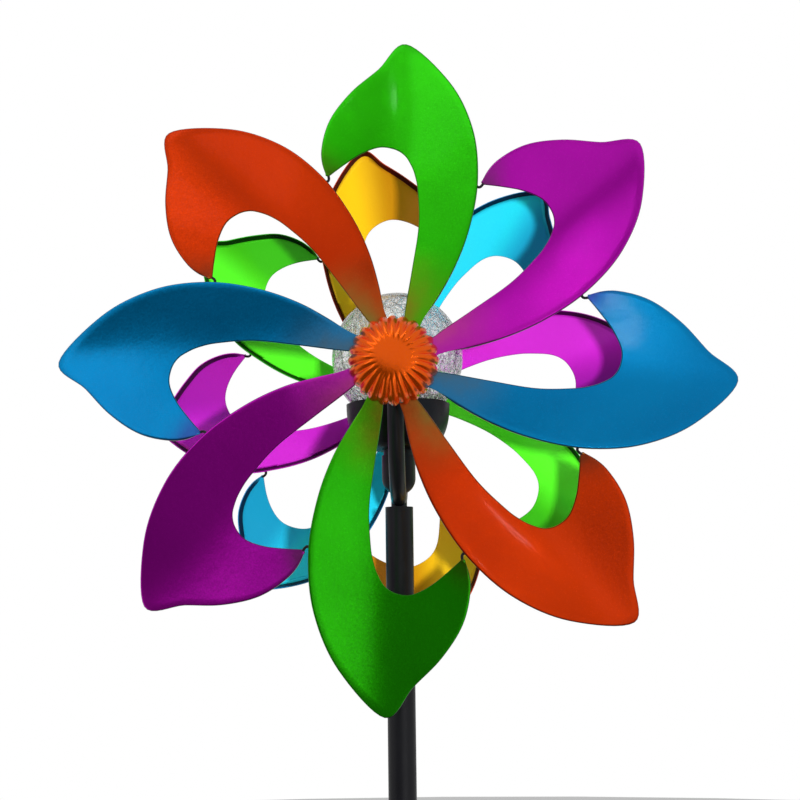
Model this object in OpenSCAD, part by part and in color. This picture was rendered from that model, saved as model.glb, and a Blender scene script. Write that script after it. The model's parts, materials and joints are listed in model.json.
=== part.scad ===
// Twin-wheel garden wind spinner with a crackle glass solar lamp between the wheels.
// Origin: on the pole's axis at ground level. +Z is up, and the front wheel faces -Y.

/* [Overall] */
// Height of the wheel axles above the ground
axle_height = 1400; // [1200:10:1500]
// How far the prongs go into the ground
stake_depth = 250; // [150:10:300]

/* [Wheels] */
// Tip radius of the front wheel
front_radius = 249; // [240:1:255]
// Tip radius of the rear wheel
rear_radius = 194; // [186:1:200]
// Turn of the front wheel from upright, clockwise seen from its own front
front_phase = 2.5; // [0:0.5:45]
// Turn of the rear wheel from upright, clockwise seen from its own front
rear_phase = 8.5; // [0:0.5:45]
// How far the petal tips lie behind the petal roots
tip_sweep = 49; // [45:1:52]
// Thickness of the petal sheet
sheet = 1.2; // [1:0.1:1.5]
// Depth of the turned-back lip along a petal's outer edge
lip = 4; // [3:0.5:5]
// Radius of the fluted hub cap
cap_radius = 32; // [31:0.5:32.5]
// Height of the fluted hub cap
cap_height = 25; // [22:1:28]

/* [Frame] */
// Distance from the pole's axis to each arm's centre line
arm_offset = 62; // [61:0.5:64]
// Diameter of the yoke tube
arm_d = 12; // [12:0.1:12.5]
// Diameter of the pole tube
pole_d = 21; // [21:0.1:22]
// Wall of the pole tube
pole_wall = 1.2; // [1:0.1:1.5]

/* [Lamp] */
// Radius of the crackle glass globe
globe_radius = 50; // [49:0.1:50]
// Height of the globe's centre above the axles
globe_rise = 17; // [16:0.5:18]
// Wall of the globe
globe_wall = 1.8; // [1.5:0.1:2.5]
// Radius of the lamp cup at its rim
cup_radius = 39.3; // [39:0.1:40]

/* [Hidden] */
$fn = 96;
petals = 8;

// Finishes
coat_black = [0.07, 0.07, 0.08];
petal_colours = [[0.16, 0.55, 0.10], [0.60, 0.06, 0.62], [0.04, 0.38, 0.62], [0.85, 0.25, 0.02]];
bare_steel = [0.70, 0.71, 0.73];

// Stations along an axle, measured out from the pole's axis
bolt_head_w = arm_offset - 10.5;
boss_in_w = arm_offset - 7;
boss_out_w = arm_offset + 7;
jam_nut_h = 4.5;
washer_t = 1.5;
bearing_w = 7;
bearing_1_w = boss_out_w + jam_nut_h + washer_t;
bearing_2_w = bearing_1_w + 20;
lock_nut_w = bearing_2_w + bearing_w + washer_t;
lock_nut_h = 7;
axle_end_w = lock_nut_w + lock_nut_h + 2;
root_w = bearing_2_w;
plate_t = 2;
cap_base_w = root_w + plate_t;

// Wheel hub and its two 8 x 22 x 7 ball bearings
axle_r = 4;
bearing_r = 11;
ball_r = 2;
ball_pitch_r = 7.5;
ball_count = 7;
race_gap = 0.05;
inner_race_r = 6.3;
outer_race_r = 8.7;
barrel_r = 13;
plate_r = 29.5;
nut_r = 7.5;
boss_r = 8;

// Yoke
arm_r = arm_d / 2;
arm_wall = 1.5;
bend_z = 33 - arm_offset;
yoke_bottom_z = bend_z - arm_offset;
pole_top_z = yoke_bottom_z - arm_r;
stem_depth = 60;

// Lamp, heights from the axles
rim_z = -19;
cup_bottom_z = -54;
cup_bottom_r = 14.5;
cup_wall = 2;
neck_r = 11.3;
neck_bottom_z = -58;
spigot_r = 9;
spigot_bottom_z = -74;
lamp_socket_r = 12.7;
socket_bottom_z = yoke_bottom_z + arm_r - 3;
globe_mouth_z = -23;
deck_z = -27;
deck_t = 2;
deck_r = 34;
button_y = 20;
button_r = 3;
button_top_z = -44;
button_bottom_z = -56;

// Pole sections and stake
pole_r = pole_d / 2;
pole_base_z = 6;
spigot_length = 40;
pole_top = axle_height + pole_top_z;
section = (pole_top - pole_base_z) / 3;
stake_plate_t = 4;
stake_plate_w = 130;
prong_r = 4;
prong_pcd = 110;
prong_point = 25;
stake_tube_r = 14;
stake_tube_h = 90;

// The outline of one petal that points up, seen from its own wheel's front. Both curves start at
// the hub. The outer one passes round the tip to the end of the barb, and the inner one follows
// the hole. Points that share an index lie across the band from each other. The last value is how
// softly the sheet is creased along the band.
FRONT_PETAL = [
    [[15, 18], [21, 33], [39, 67], [50, 100], [55, 137], [50.5, 177], [33, 216], [0, 249],
     [-20, 226], [-39, 205], [-53, 181], [-57.5, 156], [-54, 137]],
    [[7, 18], [7, 35], [11, 68], [14.5, 101], [13, 128], [10.5, 141], [7, 150], [2, 157.5],
     [-6, 162], [-17, 162.5], [-30, 156], [-42, 146], [-52, 136.5]],
    22];
REAR_PETAL = [
    [[12, 14], [17, 26], [31, 53], [40, 79], [44, 107], [43, 136], [28, 167], [0, 192],
     [-17, 180], [-33, 167], [-46, 153], [-52, 136], [-51.5, 119]],
    [[5.5, 14], [6, 27], [12, 50], [16, 75], [16, 97], [13.5, 112], [9.5, 125], [3, 133.5],
     [-7, 138.5], [-17, 139.5], [-28, 136], [-39, 129], [-50, 119]],
    26];
tip_index = 7;
front_scale = front_radius / FRONT_PETAL[0][tip_index][1];
rear_scale = rear_radius / REAR_PETAL[0][tip_index][1];
crease_x = 3;
band_tilt = 0.36;
barb_tilt = 0.26;
flat_r = 30;
tilt_full = 0.32;
petal_steps = 32;
petal_columns = [0, 0.33, 0.67, 1];
lip_lean = 1.2;
tab_r = 1.2;
tab_bite = 1.5;

function catmull(a, b, c, d, t) =
    0.5 * (2 * b + (c - a) * t + (2 * a - 5 * b + 4 * c - d) * t * t + (3 * b - a - 3 * c + d) * t * t * t);
function curve_at(points, u) =
    let (last = len(points) - 1, i = min(floor(u * last), last - 1), t = u * last - i)
    catmull(points[max(i - 1, 0)], points[i], points[i + 1], points[min(i + 2, last)], t);
function smooth_step(x, low, high) =
    let (t = min(max((x - low) / (high - low), 0), 1)) t * t * (3 - 2 * t);

// Distance of the front face from the pole's axis at point p of a petal's outline, which is drawn
// with its tip at radius tip_r, used at scale k and creased with the given softness
function petal_w(p, tip_r, k, soft) =
    let (r = norm(p),
         side = p[0] - crease_x,
         rise = sqrt(side * side + soft * soft) - soft,
         tilt = side > 0 ? band_tilt : barb_tilt)
    root_w - tip_sweep * pow(max(0, r - flat_r) / (tip_r - flat_r), 1.1)
        + k * tilt * rise * smooth_step(r, flat_r, tilt_full * tip_r);
function petal_point(p, shape, k) =
    [k * p[0], -petal_w(p, shape[0][tip_index][1], k, shape[2]), k * p[1]];
function lip_point(u, shape, k) =
    let (o = curve_at(shape[0], u),
         i = curve_at(shape[1], u),
         fade = smooth_step(norm(o), flat_r + 5, flat_r + 25) * (1 - smooth_step(u, 0.95, 1)))
    petal_point(o + (o - i) / norm(o - i) * lip_lean * fade, shape, k) + [0, lip * fade, 0];
function petal_row(u, shape, k) =
    let (o = curve_at(shape[0], u), i = curve_at(shape[1], u))
    concat([lip_point(u, shape, k)],
           [for (s = petal_columns) petal_point(o + (i - o) * s, shape, k)]);

// A sheet of even thickness from a grid of points: the back face is the front one moved along
// its normals
function unit(v) = v / max(norm(v), 0.0001);
function grid_normal(g, i, j) =
    let (a = g[min(i + 1, len(g) - 1)][j] - g[max(i - 1, 0)][j],
         b = g[i][min(j + 1, len(g[0]) - 1)] - g[i][max(j - 1, 0)])
    unit(cross(a, b));
module sheet_from_grid(g, thickness) {
    rows = len(g);
    cols = len(g[0]);
    front = [for (i = [0 : rows - 1]) for (j = [0 : cols - 1]) g[i][j]];
    back = [for (i = [0 : rows - 1]) for (j = [0 : cols - 1])
            g[i][j] - thickness * (i < 2 ? [0, -1, 0] : grid_normal(g, i, j))];
    n = rows * cols;
    function id(i, j) = i * cols + j;
    quads = [for (i = [0 : rows - 2]) for (j = [0 : cols - 2])
             [id(i, j), id(i, j + 1), id(i + 1, j + 1), id(i + 1, j)]];
    rim = concat([for (j = [0 : cols - 1]) id(0, j)],
                 [for (i = [1 : rows - 1]) id(i, cols - 1)],
                 [for (j = [cols - 2 : -1 : 0]) id(rows - 1, j)],
                 [for (i = [rows - 2 : -1 : 1]) id(i, 0)]);
    m = len(rim);
    faces = concat(
        [for (q = quads) [q[0], q[1], q[2]]],
        [for (q = quads) [q[0], q[2], q[3]]],
        [for (q = quads) [n + q[2], n + q[1], n + q[0]]],
        [for (q = quads) [n + q[3], n + q[2], n + q[0]]],
        [for (a = [0 : m - 1]) [rim[a], rim[a] + n, rim[(a + 1) % m]]],
        [for (a = [0 : m - 1]) [rim[(a + 1) % m], rim[a] + n, rim[(a + 1) % m] + n]]);
    polyhedron(concat(front, back), faces);
}

module petal(shape, k) {
    grid = [for (i = [0 : petal_steps]) petal_row(i / petal_steps, shape, k)];
    sheet_from_grid(grid, sheet);
}

// Frames: at_axle works from the axles' height, front_side and rear_side put a wheel's own front
// along -Y, and along_axle turns a shape made up +Z so that it lies out along an axle
module at_axle() translate([0, 0, axle_height]) children();
module front_side() at_axle() children();
module rear_side() at_axle() rotate([0, 0, 180]) children();
module both_sides() {
    front_side() children();
    rear_side() children();
}
module along_axle(w) translate([0, -w, 0]) rotate([90, 0, 0]) children();
module ring(outer_r, inner_r, h) difference() {
    cylinder(r = outer_r, h = h);
    translate([0, 0, -1]) cylinder(r = inner_r, h = h + 2);
}

// Stake
module stake_prongs() color(coat_black)
    for (a = [45 : 90 : 315]) rotate(a) translate([prong_pcd / 2, 0, 0]) {
        translate([0, 0, prong_point - stake_depth]) cylinder(r = prong_r, h = stake_depth - prong_point);
        translate([0, 0, -stake_depth]) cylinder(r1 = 0.8, r2 = prong_r, h = prong_point, $fn = 48);
    }
module step_plate() color(coat_black) linear_extrude(stake_plate_t) {
    corner = 12;
    inner = stake_plate_w / 2 - corner;
    square([stake_plate_w, 2 * inner], center = true);
    square([2 * inner, stake_plate_w], center = true);
    for (x = [-inner, inner]) for (y = [-inner, inner]) translate([x, y]) circle(r = corner);
}
module stake_socket() color(coat_black) difference() {
    translate([0, 0, stake_plate_t]) ring(stake_tube_r, pole_r + 0.1, stake_tube_h);
    translate([0, 0, 60]) rotate([-90, 0, 0]) cylinder(r = 2.5, h = 30);
}
// One screw holds the pole in the stake and one more pins each pole joint
module clamp_screw(shank, reach) {
    rotate([-90, 0, 0]) {
        translate([0, 0, reach]) cylinder(r = 4.6, h = 3, $fn = 6);
        translate([0, 0, reach - shank]) cylinder(r = 2.4, h = shank);
    }
}
module clamp_screws() color(bare_steel) {
    translate([0, 0, 60]) clamp_screw(stake_tube_r - pole_r - 0.1, stake_tube_r);
    for (i = [1, 2]) translate([0, 0, pole_base_z + i * section + spigot_length / 2])
        clamp_screw(4, pole_r);
}

// Pole: three tubes, the lower two with a swaged end that goes into the next tube
module pole_tube(z0, z1, spigot) {
    bore = pole_r - pole_wall;
    neck = bore - 0.15;
    neck_bore = neck - pole_wall;
    difference() {
        rotate_extrude() polygon(spigot
            ? [[bore, z0], [pole_r, z0], [pole_r, z1], [neck, z1], [neck, z1 + spigot_length],
               [neck_bore, z1 + spigot_length], [neck_bore, z1 - 3], [bore, z1 - 8]]
            : [[bore, z0], [pole_r, z0], [pole_r, z1], [bore, z1]]);
        if (spigot) translate([0, 0, z1 + spigot_length / 2]) rotate([-90, 0, 0])
            cylinder(r = 2.45, h = 20);
        if (z0 > pole_base_z) translate([0, 0, z0 + spigot_length / 2]) rotate([-90, 0, 0])
            cylinder(r = 2.45, h = 20);
    }
}
module pole_lower() color(coat_black) pole_tube(pole_base_z, pole_base_z + section, true);
module pole_middle() color(coat_black)
    pole_tube(pole_base_z + section, pole_base_z + 2 * section, true);
module pole_upper() color(coat_black) pole_tube(pole_base_z + 2 * section, pole_top, false);
module pole_bush() color([0.05, 0.05, 0.05])
    translate([0, 0, pole_top - 45]) ring(pole_r - pole_wall - 0.05, arm_r + 0.05, 45);

// Yoke: a U of tube in the YZ plane, with a cross boss at the top of each arm for its axle
module yoke_path(r) {
    translate([0, 0, bend_z]) rotate([0, 90, 0]) rotate([0, 0, -90]) rotate_extrude(angle = 180)
        translate([arm_offset, 0]) circle(r = r);
    for (y = [-arm_offset, arm_offset]) translate([0, y, bend_z]) cylinder(r = r, h = -bend_z);
}
module yoke_tube() color(coat_black) at_axle() difference() {
    union() {
        yoke_path(arm_r);
        for (turn = [0, 180]) rotate(turn) along_axle(boss_in_w)
            cylinder(r = boss_r, h = boss_out_w - boss_in_w);
    }
    yoke_path(arm_r - arm_wall);
    rotate([90, 0, 0]) cylinder(r = axle_r + 0.05, h = 200, center = true);
}
module yoke_stem() color(coat_black) at_axle() difference() {
    translate([0, 0, pole_top_z - stem_depth]) cylinder(r = arm_r, h = stem_depth + arm_r);
    yoke_path(arm_r);
}

// Lamp
// Outer outline of the cup from its bottom edge up to its rim, t from 0 to 1
function cup_curve(t, wall) =
    let (a = 90 * t)
    [cup_bottom_r + (cup_radius - cup_bottom_r) * pow(sin(a), 0.75) - wall * sin(a),
     cup_bottom_z + (rim_z - cup_bottom_z) * (1 - pow(cos(a), 0.9)) + wall * cos(a)];
module lamp_cup() color([0.09, 0.09, 0.10]) at_axle() {
    steps = 16;
    outer = [for (i = [0 : steps]) cup_curve(i / steps, 0)];
    inner = [for (i = [steps : -1 : 0]) cup_curve(i / steps, cup_wall)];
    difference() {
        union() {
            rotate_extrude() polygon(concat(
                [[0, spigot_bottom_z], [spigot_r, spigot_bottom_z], [spigot_r, neck_bottom_z],
                 [neck_r, neck_bottom_z], [neck_r, cup_bottom_z]],
                outer, inner, [[0, cup_bottom_z + cup_wall]]));
            translate([0, button_y, button_top_z - 7]) cylinder(r = button_r + 1.6, h = 6);
        }
        translate([0, button_y, -60]) cylinder(r = button_r + 0.1, h = 20);
    }
}
module lamp_socket() color([0.09, 0.09, 0.10]) at_axle() difference() {
    union() {
        translate([0, 0, socket_bottom_z + lamp_socket_r]) sphere(r = lamp_socket_r);
        translate([0, 0, socket_bottom_z + lamp_socket_r])
            cylinder(r = lamp_socket_r, h = neck_bottom_z - socket_bottom_z - lamp_socket_r);
    }
    translate([0, 0, spigot_bottom_z - 1]) cylinder(r = spigot_r + 0.1, h = 30);
    yoke_path(arm_r);
}
module lamp_button() color([0.16, 0.16, 0.17]) at_axle() translate([0, button_y, 0]) {
    translate([0, 0, button_bottom_z]) cylinder(r = button_r, h = button_top_z - button_bottom_z);
    translate([0, 0, button_top_z]) cylinder(r = button_r + 1, h = 1);
}
module lamp_deck() color([0.10, 0.10, 0.11]) at_axle() translate([0, 0, deck_z])
    ring(deck_r, 4, deck_t);
module solar_panel() color([0.03, 0.05, 0.16]) at_axle()
    translate([-17, -17, deck_z + deck_t]) cube([34, 34, 2]);
module lamp_leds() color([0.95, 0.95, 0.88]) at_axle()
    for (x = [-22, 22]) translate([x, 0, deck_z + deck_t]) {
        cylinder(r = 2.5, h = 4);
        translate([0, 0, 4]) sphere(r = 2.5);
    }
module circuit_board() color([0.05, 0.30, 0.12]) at_axle()
    translate([0, 0, deck_z - 1.6]) ring(24, 3, 1.6);
module battery() color([0.15, 0.45, 0.25]) at_axle()
    translate([0, 0, -37]) rotate([0, 90, 0]) cylinder(r = 5.2, h = 44, center = true);
module battery_contacts() color(bare_steel) at_axle()
    for (x = [-23, 22]) translate([x, -4, -41]) cube([1, 8, 41 + deck_z - 1.6]);
module globe_gasket() color([0.04, 0.04, 0.04]) at_axle() {
    inner = sqrt(pow(globe_radius, 2) - pow(rim_z - globe_rise - 2, 2));
    translate([0, 0, rim_z - 2]) difference() {
        cylinder(r = cup_radius - cup_wall - 0.3, h = 3);
        translate([0, 0, globe_rise - rim_z + 2]) sphere(r = globe_radius);
        translate([0, 0, -1]) cylinder(r = inner - 1.5, h = 6);
    }
}
module glass_globe() color([0.90, 0.95, 0.95, 0.35]) at_axle() difference() {
    translate([0, 0, globe_rise]) sphere(r = globe_radius);
    translate([0, 0, globe_rise]) sphere(r = globe_radius - globe_wall);
    translate([0, 0, globe_mouth_z - 40]) cylinder(r = 60, h = 40);
}

// Axles, which stay still
module axle_bolt() {
    along_axle(bolt_head_w) cylinder(r = nut_r, h = boss_in_w - bolt_head_w, $fn = 6);
    along_axle(bolt_head_w) cylinder(r = axle_r, h = axle_end_w - bolt_head_w);
}
module front_axle_bolt() color(bare_steel) front_side() axle_bolt();
module rear_axle_bolt() color(bare_steel) rear_side() axle_bolt();
module nut(h) difference() {
    cylinder(r = nut_r, h = h, $fn = 6);
    translate([0, 0, -1]) cylinder(r = axle_r, h = h + 2);
}
module axle_nuts() color(bare_steel) both_sides() {
    along_axle(boss_out_w) nut(jam_nut_h);
    along_axle(lock_nut_w) nut(lock_nut_h);
}
module axle_washers() color(bare_steel) both_sides() {
    along_axle(bearing_1_w - washer_t) ring(inner_race_r - 0.2, axle_r, washer_t);
    along_axle(lock_nut_w - washer_t) ring(inner_race_r - 0.2, axle_r, washer_t);
}
module bearing_spacers() color(bare_steel) both_sides()
    along_axle(bearing_1_w + bearing_w) ring(5.5, axle_r, bearing_2_w - bearing_1_w - bearing_w);
module ball_groove() rotate_extrude() translate([ball_pitch_r, bearing_w / 2]) circle(r = ball_r + race_gap);
module bearing_inner_races() color(bare_steel) both_sides()
    for (w = [bearing_1_w, bearing_2_w]) along_axle(w) difference() {
        ring(inner_race_r, axle_r, bearing_w);
        ball_groove();
    }
module bearing_balls() color(bare_steel) both_sides()
    for (w = [bearing_1_w, bearing_2_w]) along_axle(w) for (i = [1 : ball_count])
        rotate(i * 360 / ball_count) translate([ball_pitch_r, 0, bearing_w / 2]) sphere(r = ball_r);

// Wheels, which turn
module outer_races() for (w = [bearing_1_w, bearing_2_w]) along_axle(w) difference() {
    ring(bearing_r, outer_race_r, bearing_w);
    ball_groove();
}
module front_bearing_outer_races() color(bare_steel) front_side() outer_races();
module rear_bearing_outer_races() color(bare_steel) rear_side() outer_races();
module hub_barrel() along_axle(bearing_1_w) difference() {
    length = bearing_2_w + bearing_w - bearing_1_w;
    cylinder(r = barrel_r, h = length);
    translate([0, 0, -1]) cylinder(r = bearing_r, h = bearing_w + 1);
    cylinder(r = bearing_r - 1.5, h = length);
    translate([0, 0, length - bearing_w]) cylinder(r = bearing_r, h = bearing_w + 1);
}
module front_hub_barrel() color(coat_black) front_side() hub_barrel();
module rear_hub_barrel() color(coat_black) rear_side() hub_barrel();
module back_plate() along_axle(root_w - sheet - plate_t) ring(plate_r, barrel_r, plate_t);
module front_back_plate() color(coat_black) front_side() back_plate();
module rear_back_plate() color(coat_black) rear_side() back_plate();
module face_plate() along_axle(root_w) ring(plate_r, barrel_r, plate_t);
module front_face_plate() color(petal_colours[3]) front_side() face_plate();
module rear_face_plate() color(petal_colours[3]) rear_side() face_plate();

// Fluted cap: rounded lobes that fade out towards a smooth raised middle
cap_flutes = 24;
flute_depth = 1.8;
cap_sheet = 1.2;
function cap_point(turn, t, inset) =
    let (a = 90 * t,
         lobe = flute_depth * (abs(cos(turn * cap_flutes / 2)) - 1) * (1 - smooth_step(t, 0.35, 0.8)),
         r = (cap_radius - inset + lobe) * pow(cos(a), 0.8),
         w = cap_base_w + (cap_height - inset) * pow(sin(a), 0.9))
    [r * sin(turn), -w, r * cos(turn)];
module hub_cap() {
    around = 4 * cap_flutes;
    rows = 9;
    shell = [for (inset = [0, cap_sheet]) for (i = [0 : rows - 1]) for (j = [0 : around - 1])
             cap_point(j * 360 / around, i / rows, inset)];
    poles = [[0, -cap_base_w - cap_height, 0], [0, -cap_base_w - cap_height + cap_sheet, 0]];
    inner = rows * around;
    top = 2 * inner;
    function id(i, j) = i * around + j % around;
    faces = concat(
        [for (i = [0 : rows - 2]) for (j = [0 : around - 1]) [id(i, j), id(i + 1, j), id(i + 1, j + 1)]],
        [for (i = [0 : rows - 2]) for (j = [0 : around - 1]) [id(i, j), id(i + 1, j + 1), id(i, j + 1)]],
        [for (j = [0 : around - 1]) [id(rows - 1, j), top, id(rows - 1, j + 1)]]);
    flip = [for (f = faces) [for (k = [2, 1, 0]) f[k] == top ? top + 1 : f[k] + inner]];
    rim_a = [for (j = [0 : around - 1]) [id(0, j), id(0, j + 1), inner + id(0, j)]];
    rim_b = [for (j = [0 : around - 1]) [id(0, j + 1), inner + id(0, j + 1), inner + id(0, j)]];
    polyhedron(concat(shell, poles), concat(faces, flip, rim_a, rim_b));
}
module front_hub_cap() color(petal_colours[3]) front_side() hub_cap();
module rear_hub_cap() color(petal_colours[3]) rear_side() hub_cap();

// The point of a petal's outer edge at a given height, found by halving between hub and tip
function edge_at(points, height, low = 0, high = 0.55, turns = 12) =
    let (u = (low + high) / 2, p = curve_at(points, u))
    turns == 0 ? p
        : p[1] > height ? edge_at(points, height, low, u, turns - 1)
        : edge_at(points, height, u, high, turns - 1);

// A short wire tab joins each barb's end to the edge of the next petal
function turned(p, a) = [p[0] * cos(a) + p[2] * sin(a), p[1], p[2] * cos(a) - p[0] * sin(a)];
module rod_between(a, b, r) {
    d = b - a;
    translate(a) rotate([0, acos(d[2] / norm(d)), atan2(d[1], d[0])]) cylinder(r = r, h = norm(d), $fn = 24);
}
module petal_tabs(shape, k, phase) for (i = [0 : petals - 1]) {
    barb_end = shape[0][len(shape[0]) - 1] + [0.8, 1.5];
    barb = turned(petal_point(barb_end, shape, k) + [0, sheet, 0], 360 / petals);
    weld = edge_at(shape[0], barb[2] / k) - [tab_bite, 0];
    edge = petal_point(weld, shape, k) + [0, sheet, 0];
    rotate([0, phase + i * 360 / petals, 0]) rod_between(barb, edge, tab_r);
}
module front_petal_tabs() color(coat_black) front_side()
    petal_tabs(FRONT_PETAL, front_scale, front_phase);
module rear_petal_tabs() color(coat_black) rear_side()
    petal_tabs(REAR_PETAL, rear_scale, rear_phase);
module front_petal(i) color(petal_colours[(i - 1) % 4]) front_side()
    rotate([0, front_phase + (i - 1) * 360 / petals, 0]) petal(FRONT_PETAL, front_scale);
module rear_petal(i) color(petal_colours[(i + 2) % 4]) rear_side()
    rotate([0, rear_phase + (i - 1) * 360 / petals, 0]) petal(REAR_PETAL, rear_scale);

stake_prongs();
step_plate();
stake_socket();
clamp_screws();
pole_lower();
pole_middle();
pole_upper();
pole_bush();
yoke_tube();
yoke_stem();
lamp_socket();
lamp_cup();
lamp_button();
lamp_deck();
solar_panel();
lamp_leds();
circuit_board();
battery();
battery_contacts();
globe_gasket();
glass_globe();
front_axle_bolt();
rear_axle_bolt();
axle_nuts();
axle_washers();
bearing_spacers();
bearing_inner_races();
bearing_balls();
front_bearing_outer_races();
rear_bearing_outer_races();
front_hub_barrel();
rear_hub_barrel();
front_back_plate();
rear_back_plate();
front_face_plate();
rear_face_plate();
front_hub_cap();
rear_hub_cap();
front_petal_tabs();
rear_petal_tabs();
for (i = [1 : petals]) {
    front_petal(i);
    rear_petal(i);
}
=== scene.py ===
"""Garden wind spinner: two wheels of curved petals either side of a crackle glass lamp."""
import json
import math

import bpy
import numpy as np
from mathutils import Matrix, Vector


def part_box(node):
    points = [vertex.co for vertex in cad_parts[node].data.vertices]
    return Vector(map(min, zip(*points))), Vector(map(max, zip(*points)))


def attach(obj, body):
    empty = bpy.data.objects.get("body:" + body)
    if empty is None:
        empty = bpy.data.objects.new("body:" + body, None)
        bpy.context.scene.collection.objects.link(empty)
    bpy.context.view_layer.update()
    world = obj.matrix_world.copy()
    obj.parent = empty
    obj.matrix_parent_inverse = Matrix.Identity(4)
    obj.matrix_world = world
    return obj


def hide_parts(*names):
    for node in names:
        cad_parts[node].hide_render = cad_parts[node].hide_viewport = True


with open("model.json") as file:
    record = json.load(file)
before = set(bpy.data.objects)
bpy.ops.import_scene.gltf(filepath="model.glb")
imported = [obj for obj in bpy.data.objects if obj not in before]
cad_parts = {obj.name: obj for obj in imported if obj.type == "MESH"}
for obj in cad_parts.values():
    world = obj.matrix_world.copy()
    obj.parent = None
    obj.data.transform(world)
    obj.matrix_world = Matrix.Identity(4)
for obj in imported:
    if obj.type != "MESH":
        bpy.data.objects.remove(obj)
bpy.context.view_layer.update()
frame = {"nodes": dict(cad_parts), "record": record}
nodes = frame["nodes"]
scene = bpy.context.scene
MM = 0.001

# ---------------------------------------------------------------- camera
axle_z = sum(corner[2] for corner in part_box("bearing_balls")) / 2


def make_camera():
    """The camera stands in front of the wheels, a little below them, and looks up."""
    azimuth, elevation, roll = math.radians(1.55), math.radians(-7.2), math.radians(-0.7)
    distance = 1.145
    target = Vector((0.0016, 0.0, axle_z - 0.0154))
    back = Vector((math.sin(azimuth) * math.cos(elevation),
                   -math.cos(azimuth) * math.cos(elevation), math.sin(elevation)))
    right = Vector((0, 0, 1)).cross(back).normalized()
    up = back.cross(right)
    turned_right = math.cos(roll) * right + math.sin(roll) * up
    turned_up = math.cos(roll) * up - math.sin(roll) * right
    data = bpy.data.cameras.new("camera")
    data.lens = 67.5
    data.sensor_width = 36
    camera = bpy.data.objects.new("camera", data)
    basis = Matrix((turned_right, turned_up, back)).transposed().to_4x4()
    camera.matrix_world = Matrix.Translation(target + back * distance) @ basis
    scene.collection.objects.link(camera)
    scene.camera = camera


make_camera()


# ---------------------------------------------------------------- node trees
def add_node(tree, kind, settings=None, inputs=None):
    """A shader node with its settings, and each named input linked or set."""
    node = tree.nodes.new("ShaderNode" + kind)
    for key, value in (settings or {}).items():
        setattr(node, key, value)
    for key, value in (inputs or {}).items():
        connect(tree, value, node.inputs[key])
    return node


def connect(tree, value, socket):
    if isinstance(value, bpy.types.NodeSocket):
        tree.links.new(value, socket)
    else:
        socket.default_value = value


def mix_colour(tree, factor, first, second):
    node = add_node(tree, "Mix", {"data_type": "RGBA", "clamp_result": True})
    connect(tree, factor, node.inputs[0])
    connect(tree, first, node.inputs[6])
    connect(tree, second, node.inputs[7])
    return node.outputs[2]


def map_range(tree, value, low, high, to_low=0.0, to_high=1.0):
    node = add_node(tree, "MapRange", {"interpolation_type": "SMOOTHSTEP"}, {
        "Value": value, "From Min": low, "From Max": high, "To Min": to_low, "To Max": to_high})
    return node.outputs["Result"]


def multiply(tree, first, second):
    node = add_node(tree, "Math", {"operation": "MULTIPLY"})
    connect(tree, first, node.inputs[0])
    connect(tree, second, node.inputs[1])
    return node.outputs[0]


def place(tree):
    return add_node(tree, "TexCoord").outputs["Object"]


def noise(tree, scale, detail=2.0, where=None):
    return add_node(tree, "TexNoise", {}, {
        "Vector": where or place(tree), "Scale": scale, "Detail": detail}).outputs["Fac"]


def bump(tree, height, depth, normal=None):
    """depth is the height in metres that the texture's range stands for."""
    inputs = {"Height": height, "Distance": depth, "Strength": 1.0}
    if normal:
        inputs["Normal"] = normal
    return add_node(tree, "Bump", {}, inputs).outputs["Normal"]


def attribute(tree, name):
    return add_node(tree, "Attribute", {"attribute_name": name}).outputs["Fac"]


def start_material(name, values):
    material = bpy.data.materials.new(name)
    material.use_nodes = True
    tree = material.node_tree
    for key, value in values.items():
        tree.nodes["Principled BSDF"].inputs[key].default_value = value
    return material, tree, tree.nodes["Principled BSDF"]


def rgb(red, green, blue):
    return (red, green, blue, 1.0)


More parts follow.
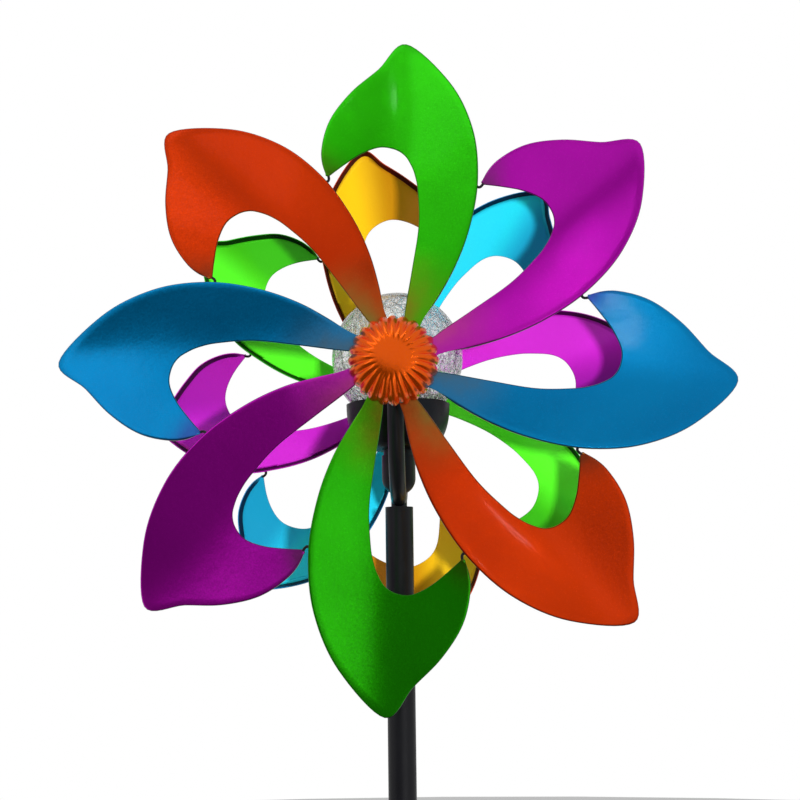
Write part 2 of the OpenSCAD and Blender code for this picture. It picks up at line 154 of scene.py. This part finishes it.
# ---------------------------------------------------------------- materials
def petal_paint(name, colour, deep, under, root_mist, barb_end_shade, roughness=0.30, coat=0.06):
    """Translucent metallic paint: coarse flakes, a little orange peel, areas of thinner and thicker
    paint, and the neighbouring colours misted onto the petal's root. Painted shade darkens the end
    of the barb, where it tucks behind the next petal. The back of the sheet has a less metallic
    coat and a brighter copy of the paint as painted light, with painted shade on the barb's side.
    The turned lip has painted shade up to its cut edge, which has a painted highlight, and the
    walls at the sheet's rims have painted shade too."""
    material, tree, shader = start_material(name, {
        "Coat Weight": coat, "Coat Roughness": 0.08, "Specular IOR Level": 0.2})
    where = place(tree)
    drift = map_range(tree, noise(tree, 11, 2, where), 0.38, 0.66)
    front = mix_colour(tree, multiply(tree, drift, 0.22), rgb(*colour), rgb(*deep))
    # Painted shade: the back darkens towards the barb's side of the crease.
    barb_shade = multiply(tree, attribute(tree, "barb_side_shade"), 0.65)
    # The back takes a brighter copy of each paint: painted light for the hot places that the backs
    # catch.
    back = mix_colour(tree, barb_shade, rgb(*under), rgb(*[0.7 * c for c in deep]))
    # Painted shade on the back of the turned lip, up to its cut edge.
    back = mix_colour(tree, attribute(tree, "lip"), back, rgb(*[0.12 * c for c in deep]))
    flakes = add_node(tree, "TexVoronoi", {}, {"Vector": where, "Scale": 1300.0})
    pick = add_node(tree, "SeparateColor", {}, {"Color": flakes.outputs["Color"]})
    bright = map_range(tree, pick.outputs["Red"], 0.86, 1.0)
    # Paler colour for the metal flakes, which also paints the highlight on the lip's cut edge.
    flake_and_edge_highlight = rgb(*[min(1, 1.6 * c + 0.004) for c in colour])
    front = mix_colour(tree, multiply(tree, bright, 0.15), front, flake_and_edge_highlight)
    cloud = map_range(tree, noise(tree, 90, 3, where), 0.25, 0.75, 0.65, 1.0)
    # The neighbouring colours misted onto the root, and painted shade at the end of the barb, where it
    # tucks behind the next petal.
    for key, overspray_and_shade in (("root_mist", root_mist), ("barb_end_shade", barb_end_shade)):
        front = mix_colour(tree, multiply(tree, attribute(tree, key), cloud), front, rgb(*overspray_and_shade))
    # Painted shade on the front of the turned lip and along the hole's rim.
    front = mix_colour(tree, multiply(tree, attribute(tree, "wall"), 0.85), front, rgb(0, 0, 0))
    base = mix_colour(tree, attribute(tree, "underside"), front, back)
    # Painted highlight along the lip's cut edge.
    base = mix_colour(tree, attribute(tree, "edge"), base, flake_and_edge_highlight)
    tree.links.new(base, shader.inputs["Base Color"])
    tree.links.new(map_range(tree, attribute(tree, "underside"), 0, 1, 0.93, 0.35),
                   shader.inputs["Metallic"])
    tree.links.new(map_range(tree, attribute(tree, "underside"), 0, 1, roughness, 0.26),
                   shader.inputs["Roughness"])
    peel = bump(tree, noise(tree, 420, 2, where), 0.00006)
    ripple = bump(tree, noise(tree, 55, 1, where), 0.00020, peel)
    centred = add_node(tree, "VectorMath", {"operation": "SUBTRACT"}, {
        0: flakes.outputs["Color"], 1: (0.5, 0.5, 0.5)})
    scaled = add_node(tree, "VectorMath", {"operation": "SCALE"}, {
        0: centred.outputs[0], "Scale": 0.05})
    total = add_node(tree, "VectorMath", {"operation": "ADD"}, {0: ripple, 1: scaled.outputs[0]})
    facing = add_node(tree, "VectorMath", {"operation": "NORMALIZE"}, {0: total.outputs[0]})
    tree.links.new(facing.outputs[0], shader.inputs["Normal"])
    return material


def coated(name, colour, roughness, grain, grain_scale, values):
    """A plain finish with a fine grain, uneven gloss and a slight change of tone."""
    material, tree, shader = start_material(name, values)
    where = place(tree)
    tone = map_range(tree, noise(tree, 35, 3, where), 0.35, 0.7)
    lighter = rgb(*[min(1, c * 1.5 + 0.001) for c in colour])
    tree.links.new(mix_colour(tree, multiply(tree, tone, 0.25), rgb(*colour), lighter),
                   shader.inputs["Base Color"])
    gloss = map_range(tree, noise(tree, 120, 3, where), 0.3, 0.7, roughness * 0.88, roughness * 1.12)
    tree.links.new(gloss, shader.inputs["Roughness"])
    tree.links.new(bump(tree, noise(tree, grain_scale, 2, where), grain), shader.inputs["Normal"])
    return material


def turned_steel(name, colour, roughness):
    """Plated or ground steel with fine rings from turning."""
    material, tree, shader = start_material(name, {"Metallic": 1.0})
    where = place(tree)
    stretched = add_node(tree, "Mapping", {}, {"Vector": where, "Scale": (200.0, 3000.0, 200.0)})
    lines = noise(tree, 1.0, 2, stretched.outputs["Vector"])
    tone = mix_colour(tree, map_range(tree, lines, 0.3, 0.7, 0.0, 0.35), rgb(*colour),
                      rgb(*[c * 0.75 for c in colour]))
    tree.links.new(tone, shader.inputs["Base Color"])
    tree.links.new(map_range(tree, lines, 0.3, 0.7, roughness * 0.8, roughness * 1.3),
                   shader.inputs["Roughness"])
    tree.links.new(bump(tree, lines, 0.00002), shader.inputs["Normal"])
    return material


def solar_cells(name):
    """Dark blue cells with thin silver lines under clear resin."""
    material, tree, shader = start_material(name, {
        "Roughness": 0.25, "Coat Weight": 1.0, "Coat Roughness": 0.05})
    lines = add_node(tree, "TexWave", {"bands_direction": "X", "wave_profile": "SAW"}, {
        "Vector": place(tree), "Scale": 45.0})
    grid = map_range(tree, lines.outputs["Fac"], 0.88, 0.95)
    crystal = add_node(tree, "TexVoronoi", {}, {"Vector": place(tree), "Scale": 350.0})
    cell = mix_colour(tree, multiply(tree, crystal.outputs["Distance"], 0.8), rgb(0.008, 0.014, 0.07),
                      rgb(0.02, 0.05, 0.18))
    tree.links.new(mix_colour(tree, grid, cell, rgb(0.55, 0.56, 0.58)), shader.inputs["Base Color"])
    return material


def crackle_glass(name):
    """Clear glass, frosted along the cracks on its inner face."""
    material, tree, shader = start_material(name, {"Transmission Weight": 1.0, "IOR": 1.45})
    crack = attribute(tree, "crack")
    fine = add_node(tree, "TexVoronoi", {"feature": "DISTANCE_TO_EDGE"}, {
        "Vector": place(tree), "Scale": 260.0})
    hair = map_range(tree, fine.outputs["Distance"], 0.0, 0.05, 1.0, 0.0)
    tree.links.new(mix_colour(tree, crack, rgb(0.985, 0.99, 0.99), rgb(0.93, 0.95, 0.95)),
                   shader.inputs["Base Color"])
    tree.links.new(map_range(tree, crack, 0.1, 1.0, 0.02, 0.45), shader.inputs["Roughness"])
    tree.links.new(bump(tree, hair, 0.00012), shader.inputs["Normal"])
    return material


def clear_resin(name):
    material, tree, shader = start_material(name, {"Transmission Weight": 0.6, "IOR": 1.5})
    tree.links.new(mix_colour(tree, noise(tree, 300, 2), rgb(0.95, 0.95, 0.86), rgb(0.85, 0.84, 0.70)),
                   shader.inputs["Base Color"])
    tree.links.new(map_range(tree, noise(tree, 500, 2), 0.3, 0.7, 0.12, 0.22),
                   shader.inputs["Roughness"])
    return material


def make_materials():
    satin = {"Specular IOR Level": 0.22}
    gloss = {"Coat Weight": 0.6, "Coat Roughness": 0.1}
    return {
        # Each paint's colours: its own, a deeper tone, a brighter copy for the back as painted light,
        # the mist at the root, and the painted shade at the barb's end.
        "petal_green": petal_paint("petal_green", (0.022, 0.48, 0.002), (0.010, 0.26, 0.001),
                                   (0.10, 0.95, 0.02), (0.26, 0.22, 0.012), (0.06, 0.10, 0.006)),
        "petal_purple": petal_paint("petal_purple", (0.55, 0.006, 0.50), (0.32, 0.003, 0.33),
                                    (0.62, 0.020, 0.62), (0.60, 0.06, 0.30), (0.14, 0.03, 0.11)),
        "petal_blue": petal_paint("petal_blue", (0.001, 0.23, 0.53), (0.001, 0.13, 0.38),
                                  (0.02, 0.70, 0.95), (0.09, 0.14, 0.16), (0.04, 0.05, 0.35)),
        "petal_orange": petal_paint("petal_orange", (0.56, 0.034, 0.0005), (0.44, 0.018, 0.0005),
                                    (1.00, 0.60, 0.01), (0.24, 0.17, 0.03), (0.14, 0.03, 0.008)),
        "cap_orange": petal_paint("cap_orange", (0.95, 0.12, 0.001), (0.80, 0.07, 0.001),
                                  (0.95, 0.16, 0.002), (0.9, 0.12, 0.002), (0.9, 0.12, 0.002),
                                  roughness=0.22, coat=0.2),
        "black_coat": coated("black_coat", (0.003, 0.003, 0.004), 0.34, 0.00006, 900, satin),
        "lamp_plastic": coated("lamp_plastic", (0.003, 0.003, 0.004), 0.40, 0.00008, 600, satin),
        "bush_plastic": coated("bush_plastic", (0.015, 0.015, 0.015), 0.5, 0.00005, 700, satin),
        "button_rubber": coated("button_rubber", (0.03, 0.03, 0.033), 0.62, 0.00005, 900, satin),
        "gasket_rubber": coated("gasket_rubber", (0.012, 0.012, 0.012), 0.7, 0.00006, 800, satin),
        "board": coated("board", (0.01, 0.11, 0.03), 0.4, 0.00003, 400, gloss),
        "battery_sleeve": coated("battery_sleeve", (0.03, 0.20, 0.07), 0.3, 0.00003, 150, gloss),
        "plated_steel": turned_steel("plated_steel", (0.60, 0.60, 0.63), 0.30),
        "bearing_steel": turned_steel("bearing_steel", (0.75, 0.75, 0.76), 0.12),
        "solar_cell": solar_cells("solar_cell"),
        "led_resin": clear_resin("led_resin"),
        "crackle_glass": crackle_glass("crackle_glass"),
    }


materials = make_materials()
for part in frame["record"]["subparts"]:
    cad_slot = nodes[part["node"]].material_slots[0]
    cad_slot.link = "OBJECT"
    cad_slot.material = materials[part["material_slot"]]


# ---------------------------------------------------------------- meshes
def make_piece(name, points, faces, slot, body, replaced, attributes=None):
    """A smooth-shaded mesh in millimetres from the axles' height, which stands for CAD nodes."""
    mesh = bpy.data.meshes.new(name)
    place_in_frame = np.asarray(points) * MM + (0, 0, axle_z)
    mesh.from_pydata(place_in_frame.tolist(), [], faces)
    mesh.polygons.foreach_set("use_smooth", [True] * len(mesh.polygons))
    for key, values in (attributes or {}).items():
        mesh.attributes.new(key, "FLOAT", "POINT").data.foreach_set("value", values)
    mesh.materials.append(materials[slot])
    mesh.update()
    piece = bpy.data.objects.new(name, mesh)
    scene.collection.objects.link(piece)
    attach(piece, body)
    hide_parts(*replaced)
    return piece


def smooth_step(value, low, high):
    t = np.clip((value - low) / (high - low), 0, 1)
    return t * t * (3 - 2 * t)


def unit(vectors):
    return vectors / np.maximum(np.linalg.norm(vectors, axis=-1, keepdims=True), 1e-9)


def grid_faces(rows, columns, start=0, flip=False, closed=False):
    """Quads of a grid of points counted row by row."""
    faces = []
    for i in range(rows - 1):
        for j in range(columns if closed else columns - 1):
            k = (j + 1) % columns
            quad = [start + i * columns + j, start + i * columns + k,
                    start + (i + 1) * columns + k, start + (i + 1) * columns + j]
            faces.append(quad[::-1] if flip else quad)
    return faces


# ---------------------------------------------------------------- petals
# The outline of one petal that points up, seen from its own wheel's front, in millimetres. The
# outer curve passes round the tip to the end of the barb, and the inner one follows the hole. The
# last value is how softly the sheet is creased along the band.
FRONT_PETAL = (
    [(15, 18), (21, 33), (39, 67), (50, 100), (55, 137), (50.5, 177), (33, 216), (0, 249),
     (-20, 226), (-39, 205), (-53, 181), (-57.5, 156), (-54, 137)],
    [(7, 18), (7, 35), (11, 68), (14.5, 101), (13, 128), (10.5, 141), (7, 150), (2, 157.5),
     (-6, 162), (-17, 162.5), (-30, 156), (-42, 146), (-52, 136.5)],
    22)
REAR_PETAL = (
    [(12, 14), (17, 26), (31, 53), (40, 79), (44, 107), (43, 136), (28, 167), (0, 192),
     (-17, 180), (-33, 167), (-46, 153), (-52, 136), (-51.5, 119)],
    [(5.5, 14), (6, 27), (12, 50), (16, 75), (16, 97), (13.5, 112), (9.5, 125), (3, 133.5),
     (-7, 138.5), (-17, 139.5), (-28, 136), (-39, 129), (-50, 119)],
    26)
# Which point of the outer curve is the tip
TIP = 7
front_tip_r, rear_tip_r = 249, 194
petals = 8
petal_step = 360 / petals
# How far each wheel's first petal has turned from straight up, in degrees
front_phase, rear_phase = 2.5, 8.5
root_w = -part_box("front_face_plate")[1][1] / MM
tip_sweep = 49
flat_r = 30
crease_x = 3
# Slopes of the outer band and of the barb's side about the crease, full at this share of the tip
band_tilt, barb_tilt, tilt_full = 0.36, 0.26, 0.32
wave_depth = 0.3
band_rows, face_columns = 97, 12
root_mist_from, root_mist_to = 34, 92
# The turned-back lip in section: how far past the outline, and how far behind it, from its free edge
LIP_SECTION = {"front": [(1.2, 4.0), (1.2, 3.5), (1.2, 1.6), (0.99, 0.8), (0.4, 0.21), (-0.4, 0.0)],
               "rear": [(1.2, 4.0), (0.9, 3.6), (-0.3, 1.9), (-1.1, 0.8), (-1.6, 0.3), (-2.2, 0.0)]}
sheet = 1.2
COLOURS = ("petal_green", "petal_purple", "petal_blue", "petal_orange")


def curve_at(points, u):
    """Points of the smooth curve through a list, for u from 0 to 1 along the list."""
    points = np.array(points, float)
    last = len(points) - 1
    i = np.minimum((u * last).astype(int), last - 1)
    t = (u * last - i)[:, None]
    a, b = points[np.maximum(i - 1, 0)], points[i]
    c, d = points[i + 1], points[np.minimum(i + 2, last)]
    return 0.5 * (2 * b + (c - a) * t + (2 * a - 5 * b + 4 * c - d) * t ** 2
                  + (3 * b - a - 3 * c + d) * t ** 3)


def petal_surface(flat, shape, scale, wave):
    """Points of the sheet's front face over flat outline points. It sweeps back towards the tip,
    folds along a soft crease and waves very slightly, as a pressed sheet does."""
    tip_r, soft = shape[0][TIP][1], shape[2]
    r = np.linalg.norm(flat, axis=-1)
    side = flat[..., 0] - crease_x
    rise = np.sqrt(side ** 2 + soft ** 2) - soft
    tilt = np.where(side > 0, band_tilt, barb_tilt)
    sweep = tip_sweep * (np.maximum(r - flat_r, 0) / (tip_r - flat_r)) ** 1.1
    uneven = wave_depth * np.sin(flat[..., 0] / 13 + wave[0]) * np.sin(flat[..., 1] / 17 + wave[1])
    out = (root_w - sweep + scale * tilt * rise * smooth_step(r, flat_r, tilt_full * tip_r)
           + uneven * smooth_step(r, 45, 90))
    return np.stack([scale * flat[..., 0], -out, scale * flat[..., 1]], axis=-1)


def petal_grid(wheel, shape, tip_r, wave):
    """Rows run along the band and columns across it, from the lip's free edge to the hole. The
    marks say how much of each paint effect, painted shade and painted highlight shows at each point."""
    scale = tip_r / shape[0][TIP][1]
    u = np.linspace(0, 1, band_rows)
    outer, inner = curve_at(shape[0], u), curve_at(shape[1], u)
    across = unit(outer - inner)
    r = np.linalg.norm(outer, axis=1)
    fade = smooth_step(r, flat_r + 5, flat_r + 25) * (1 - smooth_step(u, 0.95, 1))
    fade = np.maximum(fade, 0.03)
    section = LIP_SECTION[wheel]
    columns = []
    for reach, drop in section:
        flat = outer + across * (reach * fade)[:, None]
        columns.append(petal_surface(flat, shape, scale, wave) + np.outer(drop * fade, (0, 1, 0)))
    start = outer + across * (section[-1][0] * fade)[:, None]
    flats = [start + (inner - start) * s for s in np.linspace(0, 1, face_columns + 1)[1:-1]]
    width = np.linalg.norm(start - inner, axis=1)
    flats.append(inner + across * np.minimum(0.5, width * 0.03)[:, None])
    flats.append(inner)
    columns += [petal_surface(flat, shape, scale, wave) for flat in flats]
    grid = np.stack(columns, axis=1)
    mist_r = np.linalg.norm(grid[..., [0, 2]], axis=-1)
    column = np.arange(grid.shape[1])[None, :]
    inward = smooth_step(column / column.max(), 0.3, 1)
    root = (1 - smooth_step(mist_r, root_mist_from, root_mist_to)) * (0.35 + 0.65 * inward)
    every_column = np.ones(grid.shape[1])
    marks = {"root_mist": root,
             # Painted shade at the end of the barb
             "barb_end_shade": smooth_step(u, 0.86, 1.0)[:, None] * every_column,
             # Painted shade on the back's barb side
             "barb_side_shade": smooth_step(-grid[..., 0], -14, 20) * smooth_step(mist_r, 30, 90),
             # Painted shade on the back of the turned lip
             "lip": fade[:, None] * (column < len(section) - 1),
             # Painted shade along the lip's front and the hole's rim
             "wall": np.maximum(fade[:, None] * (column < 4), column == column.max()),
             # Painted highlight on the lip's cut edge
             "edge": fade[:, None] * (column == 0)}
    return grid, marks


def grid_normals(grid):
    """Unit normals of a grid of points, towards the wheel's front."""
    along = np.gradient(grid, axis=0)
    across = np.gradient(grid, axis=1)
    return unit(np.cross(across, along))


def closed_sheet(grid):
    """Front, back and rounded rim of a sheet, the front point that each point belongs to, and how
    far each point is on the back."""
    rows, columns = grid.shape[:2]
    count = rows * columns
    normals = grid_normals(grid)
    if normals[rows // 2, columns // 2, 1] > 0:
        normals = -normals
    normals[:2] = (0, -1, 0)
    back = grid - sheet * normals
    ids = np.arange(count).reshape(rows, columns)
    rim = np.concatenate([ids[0, :-1], ids[:-1, -1], ids[-1, :0:-1], ids[:0:-1, 0]])
    front_rim = grid.reshape(-1, 3)[rim]
    back_rim = back.reshape(-1, 3)[rim]
    tangent = np.roll(front_rim, -1, axis=0) - np.roll(front_rim, 1, axis=0)
    outward = unit(np.cross(unit(tangent), normals.reshape(-1, 3)[rim]))
    middle = (front_rim + back_rim) / 2
    centre = grid.reshape(-1, 3)[ids[:, columns // 2][np.clip(rim // columns, 0, rows - 1)]]
    sign = np.sign(np.sum(outward * (middle - centre), axis=1, keepdims=True))
    middle = middle + 0.3 * sheet * outward * np.where(sign == 0, 1, sign)
    points = np.concatenate([grid.reshape(-1, 3), back.reshape(-1, 3), middle])
    owner = np.concatenate([np.arange(count), np.arange(count), rim])
    faces = grid_faces(rows, columns) + grid_faces(rows, columns, start=count, flip=True)
    for a in range(len(rim)):
        b = (a + 1) % len(rim)
        mid_a, mid_b = 2 * count + a, 2 * count + b
        faces.append([rim[b], rim[a], mid_a, mid_b])
        faces.append([mid_b, mid_a, rim[a] + count, rim[b] + count])
    behind = np.concatenate([np.zeros(count), np.ones(count), np.full(len(rim), 0.5)])
    return points, [[int(k) for k in face] for face in faces], owner, behind


def turn_about_axle(points, degrees):
    """Clockwise, seen from the wheel's own front."""
    c, s = math.cos(math.radians(degrees)), math.sin(math.radians(degrees))
    x, y, z = np.moveaxis(points, -1, 0)
    return np.stack([x * c + z * s, y, z * c - x * s], axis=-1)


def to_rear(points):
    return points * (-1, -1, 1)


def make_petals(wheel, shape, tip_r, phase, first_colour):
    for i in range(petals):
        wave = (1.9 * i + (0.0 if wheel == "front" else 0.8), 1.1 * i)
        grid, marks = petal_grid(wheel, shape, tip_r, wave)
        points, faces, owner, behind = closed_sheet(grid)
        marks = {key: values.ravel()[owner] for key, values in marks.items()}
        # The painted highlight shows only on the rounded middle of the cut edge.
        marks["edge"] = marks["edge"] * (behind == 0.5)
        points = turn_about_axle(points, phase + petal_step * i)
        if wheel == "rear":
            points = to_rear(points)
        make_piece(f"{wheel}_petal_skin_{i + 1}", points, faces, COLOURS[(i + first_colour) % 4],
                   f"{wheel}_wheel", [f"{wheel}_petal_{i + 1}"], {**marks, "underside": behind})


make_petals("front", FRONT_PETAL, front_tip_r, front_phase, 0)
make_petals("rear", REAR_PETAL, rear_tip_r, rear_phase, 3)


# ---------------------------------------------------------------- wire hooks
hook_wire_r = 1.0
hook_dip = 4.5


def tube(path, radius, sides=12):
    """A round wire along a smooth path, closed by a rounded end at each side."""
    along = unit(np.gradient(path, axis=0))
    side = unit(np.cross(along, (0.0, 1.0, 0.0)))
    up = np.cross(side, along)
    swell = np.concatenate([[0.35, 0.8], np.ones(len(path) - 4), [0.8, 0.35]]) * radius
    turn = np.linspace(0, math.tau, sides, endpoint=False)
    rings = [path[i] + swell[i] * (np.outer(np.cos(turn), side[i]) + np.outer(np.sin(turn), up[i]))
             for i in range(len(path))]
    faces = grid_faces(len(path), sides, closed=True)
    faces.append([j for j in reversed(range(sides))])
    faces.append([(len(path) - 1) * sides + j for j in range(sides)])
    return np.concatenate(rings), faces


def make_hooks(wheel, shape, tip_r, phase):
    """A bent wire joins each barb's end to the edge of the next petal, and dips to the hub."""
    scale = tip_r / shape[0][TIP][1]
    back = np.array((0, sheet, 0))
    end = np.array([shape[0][-1]], float) + (0.8, 1.5)
    barb = turn_about_axle(petal_surface(end, shape, scale, (0, 0))[0] + back, petal_step)
    u = np.linspace(0, 0.5, 200)
    edge = curve_at(shape[0], u)
    weld = edge[np.argmin(np.abs(edge[:, 1] - barb[2] / scale))] - (1.5, 0)
    weld = petal_surface(weld[None, :], shape, scale, (0, 0))[0] + back
    t = np.linspace(0, 1, 33)
    path = barb + np.outer(t, weld - barb)
    path[:, 2] -= hook_dip * np.sin(math.pi * t) ** 0.6
    points, faces = tube(path, hook_wire_r)
    count = len(points)
    hooks = [turn_about_axle(points, phase + petal_step * i) for i in range(petals)]
    all_points = np.concatenate(hooks)
    if wheel == "rear":
        all_points = to_rear(all_points)
    all_faces = [[k + i * count for k in face] for i in range(petals) for face in faces]
    make_piece(f"{wheel}_wire_hooks", all_points, all_faces, "black_coat", f"{wheel}_wheel",
               [f"{wheel}_petal_tabs"])


make_hooks("front", FRONT_PETAL, front_tip_r, front_phase)
make_hooks("rear", REAR_PETAL, rear_tip_r, rear_phase)


# ---------------------------------------------------------------- hub caps
cap_low, cap_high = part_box("front_hub_cap")
cap_radius = (cap_high[0] - cap_low[0]) / 2 / MM
cap_height = (cap_high[1] - cap_low[1]) / MM
cap_base_w = -cap_high[1] / MM
cap_flutes, flute_depth = 24, 2.0
flute_fade_from, flute_fade_to = 0.5, 0.86
cap_sheet = 1.2


def cap_profile(t):
    """Radius and height of the smooth dome under the flutes, for t from 0 at the rim to 1."""
    a = t * math.pi / 2
    return cap_radius * np.cos(a) ** 0.8, cap_height * np.sin(a) ** 0.9


def cap_shell(inset):
    """Rounded flutes with sharp valleys, which fade out towards a smooth raised middle."""
    around, rows = 12 * cap_flutes, 60
    turn = np.linspace(0, math.tau, around, endpoint=False)[None, :]
    t = np.linspace(0, 0.985, rows)[:, None]
    r, height = cap_profile(t)
    step = 0.004
    (r_a, h_a), (r_b, h_b) = cap_profile(np.maximum(t - step, 0)), cap_profile(t + step)
    length = np.hypot(r_b - r_a, h_b - h_a)
    normal_r, normal_h = (h_b - h_a) / length, (r_a - r_b) / length
    valley = 1 - np.abs(np.cos(turn * cap_flutes / 2))
    pitch = math.pi * r / cap_flutes
    depth = np.minimum(flute_depth, 0.85 * pitch)
    depth = depth * (1 - smooth_step(t, flute_fade_from, flute_fade_to))
    lower = inset + depth * valley
    r = r - lower * normal_r
    out = cap_base_w + height - lower * normal_h
    out = np.maximum(out, cap_base_w)
    return np.stack([r * np.sin(turn), -out, r * np.cos(turn)], axis=-1)


def make_cap(wheel):
    outer, inner = cap_shell(0), cap_shell(cap_sheet)
    rows, around = outer.shape[:2]
    count = rows * around
    points = np.concatenate([outer.reshape(-1, 3), inner.reshape(-1, 3)])
    faces = grid_faces(rows, around, closed=True)
    faces += grid_faces(rows, around, start=count, flip=True, closed=True)
    for j in range(around):
        k = (j + 1) % around
        faces.append([k, j, count + j, count + k])
    faces.append([(rows - 1) * around + j for j in range(around)])
    faces.append([count + (rows - 1) * around + j for j in reversed(range(around))])
    if wheel == "rear":
        points = to_rear(points)
    make_piece(f"{wheel}_fluted_cap", points, faces, "cap_orange", f"{wheel}_wheel",
               [f"{wheel}_hub_cap"])


make_cap("front")
make_cap("rear")


# ---------------------------------------------------------------- crackle glass globe
globe_low, globe_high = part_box("glass_globe")
globe_radius = (globe_high[0] - globe_low[0]) / 2 / MM
globe_rise = (globe_high[2] - axle_z) / MM - globe_radius
globe_mouth_z = (globe_low[2] - axle_z) / MM
globe_wall = 1.8
crack_cells = 620
groove_width, groove_depth, cell_lean = 0.45, 0.45, 1.5


def sphere_rows(radius, rows, around):
    """Points from the globe's top down to its mouth."""
    lowest = math.acos((globe_mouth_z - globe_rise) / radius)
    polar = np.linspace(0.01, lowest, rows)[:, None]
    turn = np.linspace(0, math.tau, around, endpoint=False)[None, :]
    return np.stack([np.sin(polar) * np.cos(turn), np.sin(polar) * np.sin(turn),
                     np.cos(polar) + 0 * turn], axis=-1) * radius


def crack_pattern(directions, cells, random):
    """Each cell of the broken inner face leans its own way, and a groove runs between cells."""
    seeds = unit(random.normal(size=(cells, 3)))
    lean = random.normal(size=(cells, 3))
    flat = directions.reshape(-1, 3)
    nearest = np.empty(len(flat), int)
    gap = np.empty(len(flat))
    for start in range(0, len(flat), 4000):
        chunk = slice(start, start + 4000)
        angle = np.arccos(np.clip(flat[chunk] @ seeds.T, -1, 1))
        order = np.argpartition(angle, 1, axis=1)[:, :2]
        pair = np.take_along_axis(angle, order, axis=1)
        nearest[chunk] = order[np.arange(len(order)), np.argmin(pair, axis=1)]
        gap[chunk] = np.abs(pair[:, 0] - pair[:, 1]) / 2
    tilt = np.sum(lean[nearest] * (flat - seeds[nearest]), axis=1)
    shape = directions.shape[:-1]
    return gap.reshape(shape), tilt.reshape(shape)


def make_globe():
    rows, around = 150, 330
    inner_r = globe_radius - globe_wall
    outer = sphere_rows(globe_radius, rows, around)
    inner = sphere_rows(inner_r, rows, around)
    gap, tilt = crack_pattern(unit(inner), crack_cells, np.random.default_rng(7))
    groove = np.exp(-(gap * inner_r / groove_width) ** 2)
    inner = inner * (1 + (groove_depth * groove + cell_lean * tilt) / inner_r)[..., None]
    points = np.concatenate([outer.reshape(-1, 3), inner.reshape(-1, 3)]) + (0, 0, globe_rise)
    count = rows * around
    faces = grid_faces(rows, around, flip=True, closed=True)
    faces += grid_faces(rows, around, start=count, closed=True)
    mouth = (rows - 1) * around
    for j in range(around):
        k = (j + 1) % around
        faces.append([mouth + j, mouth + k, count + mouth + k, count + mouth + j])
    faces.append(list(range(around)))
    faces.append([count + j for j in reversed(range(around))])
    crack = np.concatenate([np.zeros(count), groove.ravel()])
    make_piece("crackled_globe", points, faces, "crackle_glass", "frame", ["glass_globe"],
               {"crack": crack})


make_globe()


# ---------------------------------------------------------------- light and stage
def area_light(name, place_at, size, radiance):
    """A soft box aimed at the wheels, which shows in reflections and not to the camera."""
    data = bpy.data.lights.new(name, "AREA")
    data.shape = "RECTANGLE"
    data.size, data.size_y = size
    data.energy = radiance * math.pi * size[0] * size[1]
    light = bpy.data.objects.new(name, data)
    light.location = place_at
    toward = Vector((0, 0, axle_z)) - Vector(place_at)
    light.rotation_euler = toward.to_track_quat("-Z", "Y").to_euler()
    light.visible_camera = False
    scene.collection.objects.link(light)
    return light


# Direction of each darker place in the room, the cosines of the angle to it where it starts and
# where it is full, and its grey
DARK_PLACES = [
    ((-0.33, -0.70, -0.63), 0.64, 0.92, 0.03),
    ((-0.54, -0.77, -0.33), 0.93, 0.985, 0.03),
    ((0.30, -0.69, 0.65), 0.965, 0.993, 0.05)]
room_grey, room_floor_grey = 0.62, 0.04


def make_world():
    """White behind the object. Reflections see a grey room with a dark floor and darker places."""
    world = bpy.data.worlds.new("studio")
    world.use_nodes = True
    tree = world.node_tree
    direction = add_node(tree, "TexCoord").outputs["Generated"]
    height = add_node(tree, "SeparateXYZ", {}, {"Vector": direction}).outputs["Z"]
    level = map_range(tree, height, -0.95, -0.55)
    room = mix_colour(tree, level, rgb(*[room_floor_grey] * 3), rgb(*[room_grey] * 3))
    for aim, start, full, grey in DARK_PLACES:
        toward = add_node(tree, "VectorMath", {"operation": "DOT_PRODUCT"}, {0: direction, 1: aim})
        share = map_range(tree, toward.outputs["Value"], start, full)
        room = mix_colour(tree, share, room, rgb(*[grey] * 3))
    path = add_node(tree, "LightPath")
    seen = add_node(tree, "Math", {"operation": "MAXIMUM"}, {
        0: path.outputs["Is Camera Ray"], 1: path.outputs["Is Transmission Ray"]}).outputs[0]
    colour = mix_colour(tree, seen, room, rgb(1, 1, 1))
    tree.links.new(colour, tree.nodes["Background"].inputs["Color"])
    scene.world = world


def make_floor():
    floor_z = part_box("stake_prongs")[0][2] - 0.001
    floor_r = 10
    rim = [(floor_r * math.cos(a), floor_r * math.sin(a), floor_z)
           for a in np.linspace(0, math.tau, 65)[:-1]]
    mesh = bpy.data.meshes.new("floor")
    mesh.from_pydata(rim, [], [list(range(len(rim)))])
    material, tree, shader = start_material("pale_floor", {"Roughness": 0.9})
    tree.links.new(mix_colour(tree, noise(tree, 3, 3), rgb(0.86, 0.86, 0.86), rgb(0.82, 0.82, 0.82)),
                   shader.inputs["Base Color"])
    mesh.materials.append(material)
    floor = bpy.data.objects.new("floor", mesh)
    floor.visible_glossy = False
    scene.collection.objects.link(floor)


make_world()
make_floor()
scene.view_settings.view_transform = "Standard"
lens = scene.camera.location
area_light("left_strip", (-1.05, -0.9, axle_z + 0.42), (0.35, 0.8), 0.9)
area_light("top_box", (-0.45, -0.9, axle_z + 1.5), (1.0, 0.7), 1.2)
area_light("top_spot", (0.22, -0.93, axle_z + 1.12), (0.05, 0.05), 30)
area_light("right_spot", (0.82, -1.17, axle_z - 0.18), (0.05, 0.05), 34)
area_light("low_right_box", (0.36, -0.85, axle_z - 0.52), (0.6, 0.4), 0.6)
flash = area_light("flash", (lens[0] + 0.14, lens[1], lens[2] + 0.03), (0.05, 0.05), 2400)
flash.visible_glossy = False
